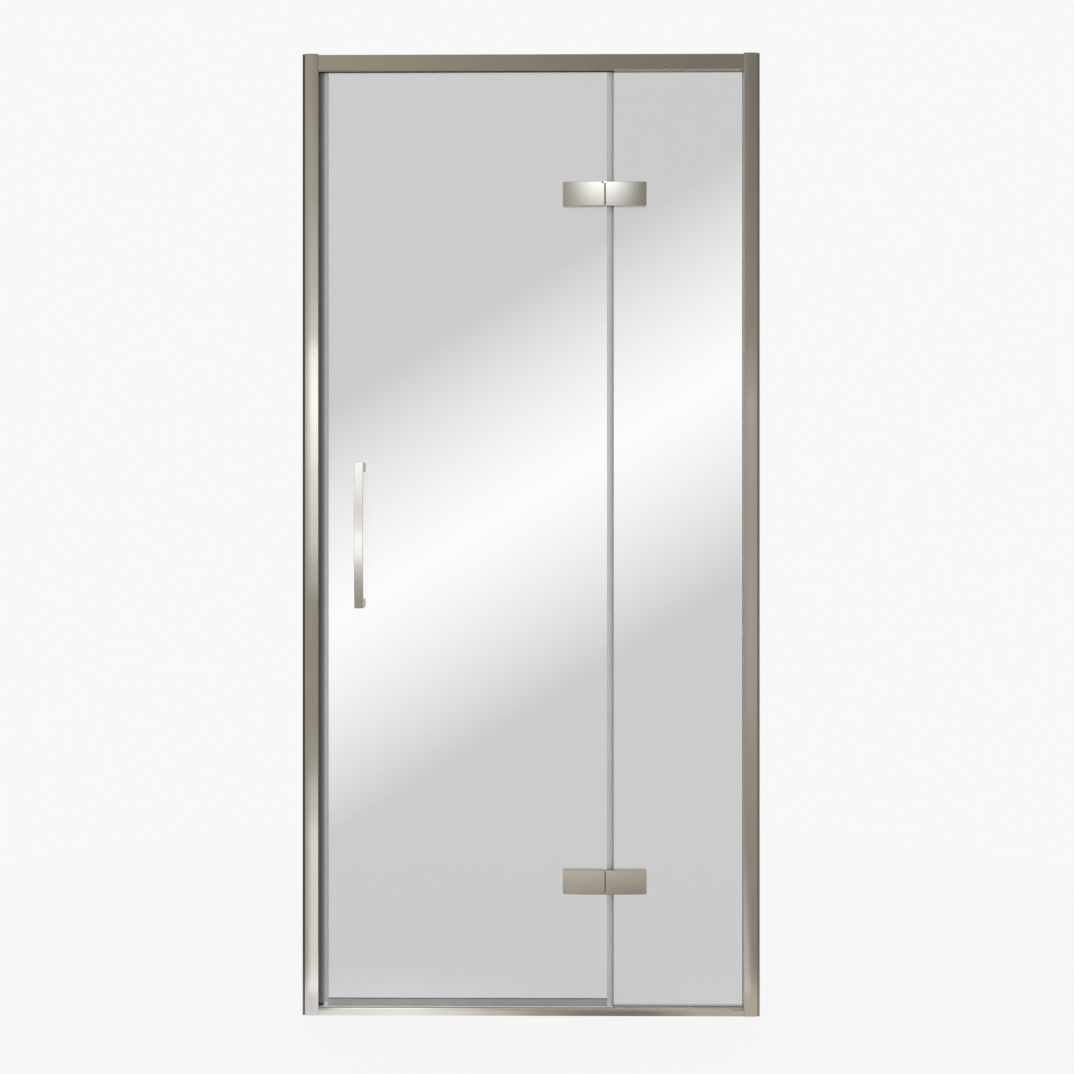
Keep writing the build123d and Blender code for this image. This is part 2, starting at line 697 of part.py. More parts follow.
def make_frame_leaf(middle_z, outer_end):
    """Front leaf on the fixed pane, with a lug above and below the barrel that hold the pin.
    The outer lug is joined to the leaf over its full depth, and the inner one over its back half."""
    half_height = hinge_height / 2
    relief_y = leaf_back_y - leaf_relief
    with BuildPart() as leaf:
        with BuildSketch(Plane.XY.offset(middle_z)):
            with BuildLine():
                bow = TangentArc((frame_leaf_start_x, leaf_front_y), (frame_leaf_end_x, leaf_end_y),
                                 tangent=(1, 0))
                Polyline(bow @ 1, (frame_leaf_end_x, leaf_back_y), (frame_clamp_start_x, leaf_back_y),
                         (frame_clamp_start_x, relief_y), (frame_leaf_start_x, relief_y), bow @ 0)
            make_face()
        extrude(amount=half_height, both=True)
        fillet(leaf.edges().filter_by(Axis.Y).group_by(Axis.X)[-1], leaf_corner_radius)
        facing = (frame_leaf_end_x - leaf_length / 2, front_y * 2, middle_z)
        front = leaf.faces().sort_by_distance(facing)[0]
        inner_limit = frame_leaf_start_x + leaf_edge_radius
        fillet(front.edges().filter_by(lambda edge: edge.center().X > inner_limit), leaf_edge_radius)
        lugs = ((outer_end, outer_lug_radius, pivot_y - outer_lug_radius),
                (-outer_end, inner_lug_radius, pivot_y))
        for end, radius, bridge_front_y in lugs:
            with BuildSketch(Plane.XY.offset(middle_z + end * half_height)):
                with Locations((pivot_x, pivot_y)):
                    Circle(radius)
                span(pivot_x, frame_leaf_start_x + leaf_edge_radius, bridge_front_y, pivot_y + radius)
            extrude(amount=-end * lug_thickness)
        with BuildSketch(Plane.XY.offset(middle_z)):
            with Locations((pivot_x, pivot_y)):
                Circle(pin_radius + thread_slack / 2)
        extrude(amount=half_height, both=True, mode=Mode.SUBTRACT)
        with BuildSketch(Plane.XZ.offset(-leaf_back_y)):
            with Locations(*[(x, middle_z) for x in frame_screw_xs]):
                Circle(hinge_screw_radius + thread_slack)
        extrude(amount=hinge_screw_depth, mode=Mode.SUBTRACT)
    return leaf


def make_hinge_pin(middle_z):
    with BuildPart() as pin:
        with BuildSketch(Plane.XY.offset(middle_z)):
            with Locations((pivot_x, pivot_y)):
                Circle(pin_radius)
        extrude(amount=hinge_height / 2, both=True)
        chamfer(pin.edges().filter_by(GeomType.CIRCLE), pin_radius / 4)
    return pin


def make_hinge_bushes(middle_z):
    """Two flanged plastic bushes, one in each end of the barrel."""
    inner_radius = pin_radius + pin_running_gap
    with BuildPart() as bushes:
        for end in (-1, 1):
            seat = Plane.XY.offset(middle_z + end * barrel_half_height)
            with BuildSketch(seat):
                with Locations((pivot_x, pivot_y)):
                    Circle(bush_radius)
                    Circle(inner_radius, mode=Mode.SUBTRACT)
            extrude(amount=-end * bush_length)
            with BuildSketch(seat):
                with Locations((pivot_x, pivot_y)):
                    Circle(bush_flange_radius)
                    Circle(inner_radius, mode=Mode.SUBTRACT)
            extrude(amount=end * bush_flange_thickness)
    return bushes


def make_clamp_plate(middle_z, clamp_span, screw_xs):
    """Plate behind the glass that the hinge screws pull against."""
    with BuildPart() as plate:
        with BuildSketch(Plane.XZ.offset(-clamp_back_y)) as outline:
            span(*clamp_span, middle_z - clamp_height / 2, middle_z + clamp_height / 2)
            fillet(outline.vertices(), leaf_corner_radius)
        extrude(amount=clamp_plate_thickness)
        chamfer(plate.faces().sort_by(Axis.Y)[-1].outer_wire().edges(), leaf_edge_radius / 2)
        with Locations(*[Plane((x, clamp_back_y, middle_z), z_dir=(0, 1, 0)) for x in screw_xs]):
            CounterSinkHole(hinge_screw_radius + shank_slack, hinge_screw_head_radius + shank_slack,
                            counter_sink_angle=90)
    return plate


def make_leaf_gaskets(middle_z, leaf_span, clamp_span, screw_xs):
    """Soft gaskets in front of and behind the glass, under the leaf and the clamp plate."""
    outlines = ((-glass_face, leaf_span, hinge_height), (glass_face + leaf_gasket, clamp_span, clamp_height))
    with BuildPart() as gaskets:
        for face_y, x_span, height in outlines:
            with BuildSketch(Plane.XZ.offset(-face_y)) as outline:
                span(*x_span, middle_z - height / 2, middle_z + height / 2)
                fillet(outline.vertices(), leaf_corner_radius)
                with Locations(*[(x, middle_z) for x in screw_xs]):
                    Circle(hinge_screw_radius + shank_slack, mode=Mode.SUBTRACT)
            extrude(amount=leaf_gasket)
    return gaskets


def make_hinge_screws(screw_xs):
    """Countersunk screws from the clamp plates into the leaves of both hinges."""
    seats = [(x, clamp_back_y, z) for x, z in hinge_hole_points(screw_xs)]
    length = clamp_back_y - leaf_back_y + hinge_screw_depth - hinge_screw_radius / 2
    cone = hinge_screw_head_radius - hinge_screw_radius
    return make_screws(seats, (0, -1, 0), hinge_screw_head_radius, cone, hinge_screw_radius, length, True)


def make_grommets(points):
    """Plastic sleeves that keep the screws off the glass."""
    with BuildPart() as grommets:
        with BuildSketch(Plane.XZ):
            with Locations(*points):
                Circle(grommet_radius)
                Circle(hinge_screw_radius + shank_slack, mode=Mode.SUBTRACT)
        extrude(amount=glass_face, both=True)
    return grommets


# Handle

def make_handle_bar():
    """Flat bar bowed towards the hand, tapped at both ends for the screws."""
    low_z = handle_height - handle_half_length
    high_z = handle_height + handle_half_length
    with BuildPart() as bar:
        with BuildSketch(Plane.YZ.offset(handle_x)):
            with BuildLine():
                front = ThreePointArc((handle_front_y, low_z), (handle_front_y - handle_bow, handle_height),
                                      (handle_front_y, high_z))
                Line(front @ 1, (handle_back_y, high_z))
                back = ThreePointArc((handle_back_y, high_z), (handle_back_y - handle_bow, handle_height),
                                     (handle_back_y, low_z))
                Line(back @ 1, front @ 0)
            make_face()
        extrude(amount=handle_width / 2, both=True)
        fillet(bar.edges(), handle_edge_radius)
        with BuildSketch(Plane.XZ.offset(-handle_back_y)):
            with Locations(*[(handle_x, z) for z in handle_post_heights]):
                Circle(hinge_screw_radius + thread_slack)
        extrude(amount=handle_screw_bite, mode=Mode.SUBTRACT)
    return bar


def make_handle_post(bar, middle_z):
    """Square post between the glass and the back of the bar, shaped to the bar's curve."""
    with BuildPart() as post:
        with BuildSketch(Plane.XZ.offset(glass_face + handle_washer_thickness)):
            with Locations((handle_x, middle_z)):
                Rectangle(post_width, post_height)
        extrude(amount=handle_projection)
        fillet(post.edges().filter_by(Axis.Y), post_edge_radius)
        add(bar.part, mode=Mode.SUBTRACT)
        with BuildSketch(Plane.XZ):
            with Locations((handle_x, middle_z)):
                Circle(hinge_screw_radius + thread_slack)
        extrude(amount=handle_projection * 2, mode=Mode.SUBTRACT)
    return post


def make_handle_washers():
    """Soft washers on both sides of the glass, under the posts and the rosettes."""
    outer_y = -glass_face
    inner_y = glass_face + handle_washer_thickness
    with BuildPart() as washers:
        for face_y, radius in ((outer_y, outer_washer_radius), (inner_y, rosette_radius)):
            with BuildSketch(Plane.XZ.offset(-face_y)):
                with Locations(*[(handle_x, z) for z in handle_post_heights]):
                    Circle(radius)
                    Circle(hinge_screw_radius + shank_slack, mode=Mode.SUBTRACT)
            extrude(amount=handle_washer_thickness)
    return washers


def make_handle_screws():
    """Long screws from inside the shower, through the glass and the posts into the bar."""
    seat_y = glass_face + handle_washer_thickness
    length = seat_y - handle_back_y + handle_screw_bite - thread_slack
    return make_screws([(handle_x, seat_y, z) for z in handle_post_heights], (0, -1, 0),
                       handle_screw_head_radius, handle_screw_head_height, hinge_screw_radius, length)


def make_handle_rosettes():
    """Round covers over the screw heads inside the shower."""
    seat_y = glass_face + handle_washer_thickness
    with BuildPart() as rosettes:
        for z in handle_post_heights:
            seat = Plane((handle_x, seat_y, z), z_dir=(0, 1, 0))
            with BuildSketch(seat):
                Circle(rosette_radius)
            extrude(amount=rosette_height)
            with BuildSketch(seat):
                Circle(handle_screw_head_radius + rosette_cavity_slack)
            extrude(amount=handle_screw_head_height + rosette_cavity_slack, mode=Mode.SUBTRACT)
        fillet(rosettes.faces().sort_by(Axis.Y)[-2:].edges(), rosette_edge_radius)
    return rosettes


# Build every piece and write it out

os.makedirs("parts", exist_ok=True)

save(make_wall_channel(-1), "wall_channel_left")
save(make_wall_channel(1), "wall_channel_right")
save(make_strike_jamb(), "strike_jamb")
save(make_fixed_jamb(), "fixed_panel_jamb")
save(make_jamb_cap(-1), "jamb_cap_left")
save(make_jamb_cap(1), "jamb_cap_right")
save(make_top_rail(), "top_rail")
save(make_top_infill(), "top_rail_infill")
save(make_threshold(), "threshold")
save(make_threshold_infill(), "threshold_infill")
save(make_corner_screws(), "corner_screws")
save(make_fixing_screws(), "jamb_fixing_screws")
save(make_screw_covers(), "screw_covers")

save(make_fixed_glass(), "fixed_glass")
save(make_side_gasket(), "glazing_gasket_side")
save(make_edge_gasket(pane_top, rail_bottom - gasket_lip), "glazing_gasket_top")
save(make_edge_gasket(pane_bottom, threshold_height + gasket_lip), "glazing_gasket_bottom")
save(make_setting_blocks(), "setting_blocks")

save(make_jamb_magnet_seal(), "jamb_magnet_seal")
save(make_magnet_strip(magnet_seal_depth - jamb_inner_x - magnet_cover - magnet_slack - magnet_thickness),
     "jamb_magnet_strip")
save(make_corner_pad(), "strike_corner_pad")

save(make_door_glass(), "door_glass")
save(make_door_magnet_seal(), "door_magnet_seal")
save(make_magnet_strip(door_left - magnet_seal_depth + magnet_cover + magnet_slack), "door_magnet_strip")
save(make_hinge_side_seal(), "hinge_side_seal")
save(make_drip_seal(), "drip_seal")

for place, hinge_z, outer_end in zip(("lower", "upper"), hinge_heights, hinge_outer_ends):
    save(make_door_leaf(hinge_z, outer_end), f"{place}_hinge_door_leaf")
    save(make_frame_leaf(hinge_z, outer_end), f"{place}_hinge_frame_leaf")
    save(make_hinge_pin(hinge_z), f"{place}_hinge_pin")
    save(make_hinge_bushes(hinge_z), f"{place}_hinge_bushes")
    save(make_clamp_plate(hinge_z, door_clamp_span, door_screw_xs), f"{place}_hinge_door_clamp")
    save(make_clamp_plate(hinge_z, frame_clamp_span, frame_screw_xs), f"{place}_hinge_frame_clamp")
    save(make_leaf_gaskets(hinge_z, door_leaf_span, door_clamp_span, door_screw_xs),
         f"{place}_hinge_door_gaskets")
    save(make_leaf_gaskets(hinge_z, frame_leaf_span, frame_clamp_span, frame_screw_xs),
         f"{place}_hinge_frame_gaskets")
save(make_hinge_screws(door_screw_xs), "door_hinge_screws")
save(make_hinge_screws(frame_screw_xs), "frame_hinge_screws")
save(make_grommets(hinge_hole_points(door_screw_xs)), "door_hinge_grommets")
save(make_grommets(hinge_hole_points(frame_screw_xs)), "frame_hinge_grommets")

handle_bar = make_handle_bar()
save(handle_bar, "handle_bar")
save(make_handle_post(handle_bar, handle_post_heights[0]), "handle_post_lower")
save(make_handle_post(handle_bar, handle_post_heights[1]), "handle_post_upper")
save(make_handle_washers(), "handle_washers")
save(make_grommets([(handle_x, z) for z in handle_post_heights]), "handle_grommets")
save(make_handle_screws(), "handle_screws")
save(make_handle_rosettes(), "handle_rosettes")
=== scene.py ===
# Looks of a framed shower front: one outward-opening pivot door beside a fixed pane, in metres.
# The outside of the shower faces -Y, and the floor is at Z 0.
import json
import math

import bpy
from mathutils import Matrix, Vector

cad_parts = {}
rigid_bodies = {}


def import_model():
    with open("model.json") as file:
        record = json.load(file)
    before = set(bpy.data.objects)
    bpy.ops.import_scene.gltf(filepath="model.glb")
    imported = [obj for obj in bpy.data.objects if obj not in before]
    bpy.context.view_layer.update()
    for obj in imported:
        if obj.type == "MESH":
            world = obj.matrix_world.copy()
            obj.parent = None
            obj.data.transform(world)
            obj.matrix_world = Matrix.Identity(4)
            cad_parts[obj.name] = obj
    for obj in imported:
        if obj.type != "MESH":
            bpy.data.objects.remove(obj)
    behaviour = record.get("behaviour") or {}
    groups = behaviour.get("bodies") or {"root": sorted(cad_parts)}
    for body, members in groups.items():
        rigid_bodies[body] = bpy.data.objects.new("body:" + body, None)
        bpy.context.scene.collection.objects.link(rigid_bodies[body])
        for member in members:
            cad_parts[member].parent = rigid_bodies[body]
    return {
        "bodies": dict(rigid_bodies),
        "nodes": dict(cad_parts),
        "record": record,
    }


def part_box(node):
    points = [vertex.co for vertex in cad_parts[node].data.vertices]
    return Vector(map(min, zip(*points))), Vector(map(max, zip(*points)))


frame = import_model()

# Camera, worked out from the frame's size in the photograph. The turn is to the left
CAMERA_PLACE = (0.0128, -2.864, 0.995)
CAMERA_TURN = math.radians(0.48)
CAMERA_LENS_MM = 46.0
CAMERA_SENSOR_MM = 36.0

# Floor and background. Levels and colours are linear, and 1 is white
WHITE = (1.0, 1.0, 1.0)
BACKGROUND_LEVEL = 0.939
FLOOR_RADIUS = 14.0
FLOOR_SIDES = 96
FLOOR_SHADOW_SHARE = 0.08
FLOOR_SHADOW_START = 0.9
FLOOR_SHADOW_END = 2.2
FLOOR_LIT_COLOUR = (0.9, 0.9, 0.9)
FLOOR_BOUNCE_COLOUR = (0.8, 0.8, 0.8)
FLOOR_FRONT_EDGE = -0.01

# Studio that the metal and the glass mirror. Its sides and heights are slopes of the mirrored ray
STUDIO_LEVEL = 0.55
STUDIO_TOP_LEFT_LEVEL = 0.62
STUDIO_TOP_RIGHT_LEVEL = 0.32
STUDIO_TOP_SIDES = (-0.2, 0.12)
STUDIO_TOP_HEIGHTS = (0.08, 0.33)
STUDIO_BEHIND_LEVEL = 1.15
STUDIO_BEHIND_TURN = (-0.75, 0.0)
LEAST_FORWARD = 0.05

# What the low threshold mirrors of the floor in front of it, as (X, level)
FLOOR_SHEEN = ((-0.475, 1.1), (-0.4, 1.35), (-0.27, 1.5), (-0.17, 1.3), (-0.064, 0.98), (0.03, 0.6),
               (0.123, 0.4), (0.2, 0.36), (0.25, 0.41), (0.3, 0.6), (0.35, 0.8), (0.475, 0.82))
FLOOR_SHEEN_END = (0.12, 0.34)
COOL_FLOOR = (1.05, 1.13, 1.34)
COOL_FLOOR_END = (-0.25, 0.0)

# What everything mirrors of the floor further out
OPEN_FLOOR_LEVEL = 0.46
OPEN_FLOOR_REACH = (0.5, 3.0)

# Soft light band across the panes, in the plane of the glass, and the card behind them that makes it
BAND_POINT = (-0.414, 0.818)
BAND_SLOPE = 0.63
BAND_HALF_WIDTH = 0.378
BAND_FALL_OFF = 1.4
BAND_LEVEL = 0.6
BAND_CARD_Y = 0.2
BAND_CARD_MARGIN = 0.5

# Light cards, which stand this far in front of what mirrors them
GLOW_DISTANCE = 0.15
COOL_LIGHT = (1.0, 1.11, 1.36)

# Cards of the jambs, as (Z, level). X places are measured from the jamb's edges and middle
JAMB_CARD_MARGIN = 0.3
STRIKE_JAMB_GLOW = ((0.0, 0.85), (0.33, 0.85), (0.42, 0.5), (0.52, 0.1), (0.6, 0.0), (0.84, 0.0),
                    (0.92, 0.3), (1.0, 0.65), (1.1, 0.85), (1.2, 1.2), (1.3, 1.45), (1.38, 1.3),
                    (1.45, 0.6), (1.57, 0.36), (1.8, 0.12), (2.0, 0.0))
STRIKE_JAMB_LEFT = (-0.05, -0.014)
STRIKE_JAMB_LEFT_SHARE = 0.12
FIXED_JAMB_GLOW = ((0.35, 0.0), (0.5, 0.03), (0.65, 0.12), (0.8, 0.16), (1.05, 0.12), (1.2, 0.18),
                   (1.28, 0.24), (1.35, 0.12), (1.45, 0.0))
FIXED_JAMB_INNER = (-0.012, 0.012)
FIXED_JAMB_OUTER = (0.08, 0.04)
FIXED_JAMB_FOOT_HEIGHTS = (0.42, 0.1)
FIXED_JAMB_FOOT_LEVEL = 0.42
FIXED_JAMB_FOOT_EDGE = (0.045, 0.005)
FIXED_JAMB_FOOT_LEAN = 0.12

# Card of the handle, as (Z, level)
HANDLE_GLOW = ((0.81, 0.0), (0.831, 0.06), (0.87, 0.18), (0.908, 0.5), (0.947, 1.2), (0.9875, 1.4),
               (1.027, 0.95), (1.0645, 0.8), (1.09, 0.9), (1.118, 1.1), (1.2, 1.35))
HANDLE_CARD_SIDES = (0.3, 0.2)
HANDLE_CARD_HEIGHTS = (0.1, 0.2)

# Cards of the hinges: levels at the foot and the head of a leaf, and X places beside the slit
HINGE_CARD_SIDES = (0.1, 0.25)
HINGE_CARD_HEIGHT = 0.06
UPPER_HINGE_GLOW = (0.66, 1.95)
UPPER_HINGE_LEFT = (-0.116, -0.006)
UPPER_HINGE_RIGHT = (0.124, 0.009)
LOWER_HINGE_GLOW = (0.0, 0.34)
LOWER_HINGE_SIDE = (0.129, -0.111)
LOWER_HINGE_SIDE_LEVEL = 0.14

# Card of the threshold, as (X, level)
THRESHOLD_GLOW = ((-0.475, 0.8), (-0.4, 1.3), (-0.27, 1.5), (-0.17, 0.8), (-0.064, 0.25), (0.05, 0.1),
                  (0.2, 0.14), (0.35, 0.35), (0.475, 0.4))
THRESHOLD_CARD_HEIGHTS = (0.001, 0.3)
THRESHOLD_CARD_FOOT = (0.0, 0.02)

# Glass
GLASS_TINT = (0.646, 0.648, 0.646)
GLASS_EDGE_TINT = (0.40, 0.56, 0.50)
GLASS_EDGE_TURN = (0.9, 0.5)
GLASS_EDGE_ROUGHNESS = 0.35
GLASS_IOR = 1.5

# Metals
NICKEL = (0.50, 0.455, 0.372)
RAIL_NICKEL = (0.50, 0.437, 0.342)
# Handle posts: the same nickel painted darker, as painted shade on their sides
POST_NICKEL_PAINTED_SHADE = (0.22, 0.195, 0.16)
CHANNEL_NICKEL = (0.30, 0.262, 0.20)
# Left wall channel: the channel metal painted darker, as painted shade
LEFT_CHANNEL_PAINTED_SHADE = (0.145, 0.124, 0.092)
STEEL = (0.52, 0.52, 0.51)
NICKEL_ROUGHNESS = 0.2
METAL_SHADES = (0.94, 1.04)
METAL_BUMP = 0.06
METAL_CLOUD_SCALE = 9.0

# Noise scales of the brushed grain, low along the strokes
GRAIN_UPRIGHT = (1800.0, 1800.0, 14.0)
GRAIN_LEVEL = (14.0, 1800.0, 1800.0)
GRAIN_SMALL = (40.0, 2200.0, 2200.0)
GRAIN_FINE = (900.0, 900.0, 900.0)
GRAIN_DETAIL = 4.0
GRAIN_ROUGHNESS = 0.65
GRAIN_SPREAD = 0.035
CLOUD_SPREAD = 0.02

# Plastics and rubbers
# Dark rubber; the same colour is also the painted shade under the top infill strip
DARK_RUBBER_AND_SHADE = (0.022, 0.021, 0.018)
DARK_RUBBER_ROUGHNESS = 0.6
CAP_PLASTIC = (0.27, 0.245, 0.20)
PALE_PVC = (0.82, 0.83, 0.80)
DRIP_PVC = (0.43, 0.44, 0.42)
CLEAR_PVC = (0.42, 0.43, 0.42)
GREY_PVC = (0.10, 0.10, 0.088)
MAGNET_PVC = (0.68, 0.69, 0.67)
MAGNET_CORE = (0.19, 0.195, 0.18)
HINGE_PVC = (0.85, 0.88, 0.86)
HINGE_CORE = (0.43, 0.45, 0.43)
MAGNET = (0.03, 0.03, 0.028)
CLEAR_GASKET = (0.78, 0.78, 0.76)
FOOT_GASKET = (0.9, 0.9, 0.88)
NYLON = (0.62, 0.62, 0.58)
PLASTIC_MOTTLE = 0.04
PLASTIC_BUMP = 0.08
PLASTIC_SPOT_SCALE = 420.0
PLASTIC_CLOUD_SCALE = 14.0
SEAL_CORE_ALPHA = 0.96
SEAL_CORE_EDGE = 0.0003
SEAL_ROUGHNESS = 0.32
SEAL_SPREAD = 0.04
SEAL_BUMP = 0.05
SEAL_SPOT_SCALE = 300.0
PLASTIC_SPREAD = 0.05
# Facing along Y over which the infill turns from its painted-shade underside to its nickel front
INFILL_FRONT_TURN = (-0.5, -0.8)
INFILL_SPREAD = 0.03

# Noise that all finishes share: its detail, and the parts of its range that a finish uses
FINE_DETAIL = 3.0
NARROW_NOISE = (0.3, 0.7)
MIDDLE_NOISE = (0.25, 0.75)
WIDE_NOISE = (0.2, 0.8)
BUMP_DEPTH = 0.0002

# Nodes that share a finish and a direction of the brushed grain
UPRIGHT_NICKEL = ("strike_jamb", "fixed_panel_jamb", "handle_bar")


def clear_startup_objects():
    """Removes what Blender starts with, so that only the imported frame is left."""
    kept = set(frame["nodes"].values()) | set(frame["bodies"].values())
    for leftover in [item for item in bpy.data.objects if item not in kept]:
        bpy.data.objects.remove(leftover)


# Small helpers for node trees

def add_node(tree, kind, inputs=None, **settings):
    """Adds a node, sets its properties, and sets or links its inputs by name or number."""
    node = tree.nodes.new(kind)
    for name, value in settings.items():
        setattr(node, name, value)
    for name, value in (inputs or {}).items():
        socket = node.inputs[name]
        if isinstance(value, bpy.types.NodeSocket):
            tree.links.new(value, socket)
        elif isinstance(value, tuple) and len(value) == 3 and socket.type == "RGBA":
            socket.default_value = (*value, 1.0)
        else:
            socket.default_value = value
    return node


def maths(tree, operation, first, second=0.0, clamp=False):
    """One Math node, given two numbers or sockets."""
    node = add_node(tree, "ShaderNodeMath", {0: first, 1: second}, operation=operation, use_clamp=clamp)
    return node.outputs[0]


def straight_step(tree, value, start, end, low=0.0, high=1.0):
    """Maps value from start..end to low..high, and keeps it between them."""
    node = add_node(tree, "ShaderNodeMapRange", {"Value": value, "From Min": start, "From Max": end,
                                                 "To Min": low, "To Max": high})
    return node.outputs["Result"]


def smooth_step(tree, value, start, end, low=0.0, high=1.0):
    """Maps value from start..end to low..high with soft ends."""
    node = add_node(tree, "ShaderNodeMapRange", {"Value": value, "From Min": start, "From Max": end,
                                                 "To Min": low, "To Max": high},
                    interpolation_type="SMOOTHSTEP")
    return node.outputs["Result"]


def profile(tree, value, levels):
    """A level that follows (place, level) pairs as value moves, smooth between them."""
    low, high = levels[0][0], levels[-1][0]
    peak = max(level for place, level in levels)
    ramp = add_node(tree, "ShaderNodeValToRGB", {"Fac": straight_step(tree, value, low, high)})
    ramp.color_ramp.interpolation = "EASE"
    elements = ramp.color_ramp.elements
    while len(elements) < len(levels):
        elements.new(0.5)
    for element, (place, level) in zip(elements, levels):
        element.position = (place - low) / (high - low)
        element.color = (level / peak, level / peak, level / peak, 1.0)
    return maths(tree, "MULTIPLY", ramp.outputs["Color"], peak)


def mix_value(tree, factor, first, second):
    """First where factor is nought, second where it is one."""
    return add_node(tree, "ShaderNodeMix", {"Factor": factor, "A": first, "B": second}).outputs["Result"]


def mix_colour(tree, factor, first, second):
    """The same for two colours, each a tuple or a socket."""
    node = add_node(tree, "ShaderNodeMix", {"Factor": factor}, data_type="RGBA")
    for name, value in (("A", first), ("B", second)):
        socket = next(item for item in node.inputs if item.name == name and item.type == "RGBA")
        if isinstance(value, bpy.types.NodeSocket):
            tree.links.new(value, socket)
        else:
            socket.default_value = (*value, 1.0)
    return next(item for item in node.outputs if item.type == "RGBA")


def new_material(name):
    """An empty node material and its tree."""
    material = bpy.data.materials.new(name)
    material.use_nodes = True
    material.node_tree.nodes.clear()
    return material, material.node_tree


def finish_material(tree, shader):
    """Makes a shader the material's surface."""
    add_node(tree, "ShaderNodeOutputMaterial", {"Surface": shader})


def object_place(tree, scale=(1.0, 1.0, 1.0)):
    """Coordinates that stay with the piece, in metres, stretched by scale."""
    place = add_node(tree, "ShaderNodeTexCoord").outputs["Object"]
    return add_node(tree, "ShaderNodeMapping", {"Vector": place, "Scale": scale}).outputs["Vector"]


def facing_y(tree):
    """How far a surface of the piece faces along Y, from -1 to 1."""
    normal = add_node(tree, "ShaderNodeTexCoord").outputs["Normal"]
    return add_node(tree, "ShaderNodeSeparateXYZ", {"Vector": normal}).outputs["Y"]


def noise(tree, vector, scale, detail=2.0, roughness=0.5):
    """Seedless noise between 0 and 1."""
    node = add_node(tree, "ShaderNodeTexNoise", {"Vector": vector, "Scale": scale, "Detail": detail,
                                                 "Roughness": roughness})
    return node.outputs["Fac"]


def brushed_grain(tree, scale):
    """Noise stretched into fine strokes."""
    return noise(tree, object_place(tree, scale), 1.0, GRAIN_DETAIL, GRAIN_ROUGHNESS)


def around(tree, pattern, middle, spread):
    """A value that follows a noise pattern up to spread above or below the middle."""
    return smooth_step(tree, pattern, *WIDE_NOISE, middle - spread, middle + spread)


def shaded(tree, colour, shade):
    """A colour made lighter or darker by a shade."""
    tone = add_node(tree, "ShaderNodeVectorMath", {0: colour, "Scale": shade}, operation="SCALE")
    return tone.outputs[0]


def bumpy_normal(tree, height, strength):
    """Surface direction roughened by a height pattern."""
    bump = add_node(tree, "ShaderNodeBump", {"Strength": strength, "Distance": BUMP_DEPTH, "Height": height})
    return bump.outputs["Normal"]


# Materials

def make_nickel(name, grain_scale, colour=NICKEL, roughness=NICKEL_ROUGHNESS):
    """Brushed metal: fine grain along one direction and faint clouding."""
    material, tree = new_material(name)
    grain = brushed_grain(tree, grain_scale)
    clouds = noise(tree, object_place(tree), METAL_CLOUD_SCALE, FINE_DETAIL)
    shade = smooth_step(tree, grain, *MIDDLE_NOISE, *METAL_SHADES)
    cloud_roughness = smooth_step(tree, clouds, *NARROW_NOISE, -CLOUD_SPREAD, CLOUD_SPREAD)
    grain_roughness = around(tree, grain, roughness, GRAIN_SPREAD)
    shader = add_node(tree, "ShaderNodeBsdfPrincipled",
                      {"Base Color": shaded(tree, colour, shade),
                       "Metallic": 1.0,
                       "Roughness": maths(tree, "ADD", grain_roughness, cloud_roughness),
                       "Normal": bumpy_normal(tree, grain, METAL_BUMP)})
    finish_material(tree, shader.outputs[0])
    return material


def make_plastic(name, colour, roughness, alpha=1.0):
    """Moulded or extruded plastic or rubber with a faint mottled surface."""
    material, tree = new_material(name)
    spots = noise(tree, object_place(tree), PLASTIC_SPOT_SCALE, FINE_DETAIL)
    clouds = noise(tree, object_place(tree), PLASTIC_CLOUD_SCALE)
    shade = smooth_step(tree, clouds, *NARROW_NOISE, 1.0 - PLASTIC_MOTTLE, 1.0 + PLASTIC_MOTTLE)
    shader = add_node(tree, "ShaderNodeBsdfPrincipled",
                      {"Base Color": shaded(tree, colour, shade),
                       "Roughness": around(tree, spots, roughness, PLASTIC_SPREAD),
                       "Alpha": alpha,
                       "Normal": bumpy_normal(tree, spots, PLASTIC_BUMP)})
    finish_material(tree, shader.outputs[0])
    return material


def make_seal(name, leg_colour, alpha, core_colour, core_low_x, core_high_x):
    """Translucent clip-on seal whose core, between two X places, is a darker solid part."""
    material, tree = new_material(name)
    place = object_place(tree)
    across = add_node(tree, "ShaderNodeSeparateXYZ", {"Vector": place}).outputs["X"]
    spots = noise(tree, place, SEAL_SPOT_SCALE, FINE_DETAIL)
    past_low = smooth_step(tree, across, core_low_x - SEAL_CORE_EDGE, core_low_x + SEAL_CORE_EDGE)
    past_high = smooth_step(tree, across, core_high_x - SEAL_CORE_EDGE, core_high_x + SEAL_CORE_EDGE)
    core = maths(tree, "SUBTRACT", past_low, past_high)
    shader = add_node(tree, "ShaderNodeBsdfPrincipled",
                      {"Base Color": mix_colour(tree, core, leg_colour, core_colour),
                       "Roughness": around(tree, spots, SEAL_ROUGHNESS, SEAL_SPREAD),
                       "Alpha": mix_value(tree, core, alpha, SEAL_CORE_ALPHA),
                       "Normal": bumpy_normal(tree, spots, SEAL_BUMP)})
    finish_material(tree, shader.outputs[0])
    return material


def make_magnet_seal():
    """Seal on the door's closing edge. Its core is as wide as the magnet and its walls beside it."""
    magnet_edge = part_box("door_magnet_strip")[0][0]
    pane_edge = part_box("door_glass")[0][0]
    core_edge = 2 * magnet_edge - pane_edge
    return make_seal("magnet_seal_pvc", MAGNET_PVC, 0.45, MAGNET_CORE, core_edge, pane_edge)


def make_hinge_seal():
    """Seal between the two panes. All of it past the door's pane is its solid bulb."""
    door_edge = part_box("door_glass")[1][0]
    fixed_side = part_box("fixed_glass")[1][0]
    return make_seal("hinge_seal_pvc", HINGE_PVC, 0.4, HINGE_CORE, door_edge, fixed_side)


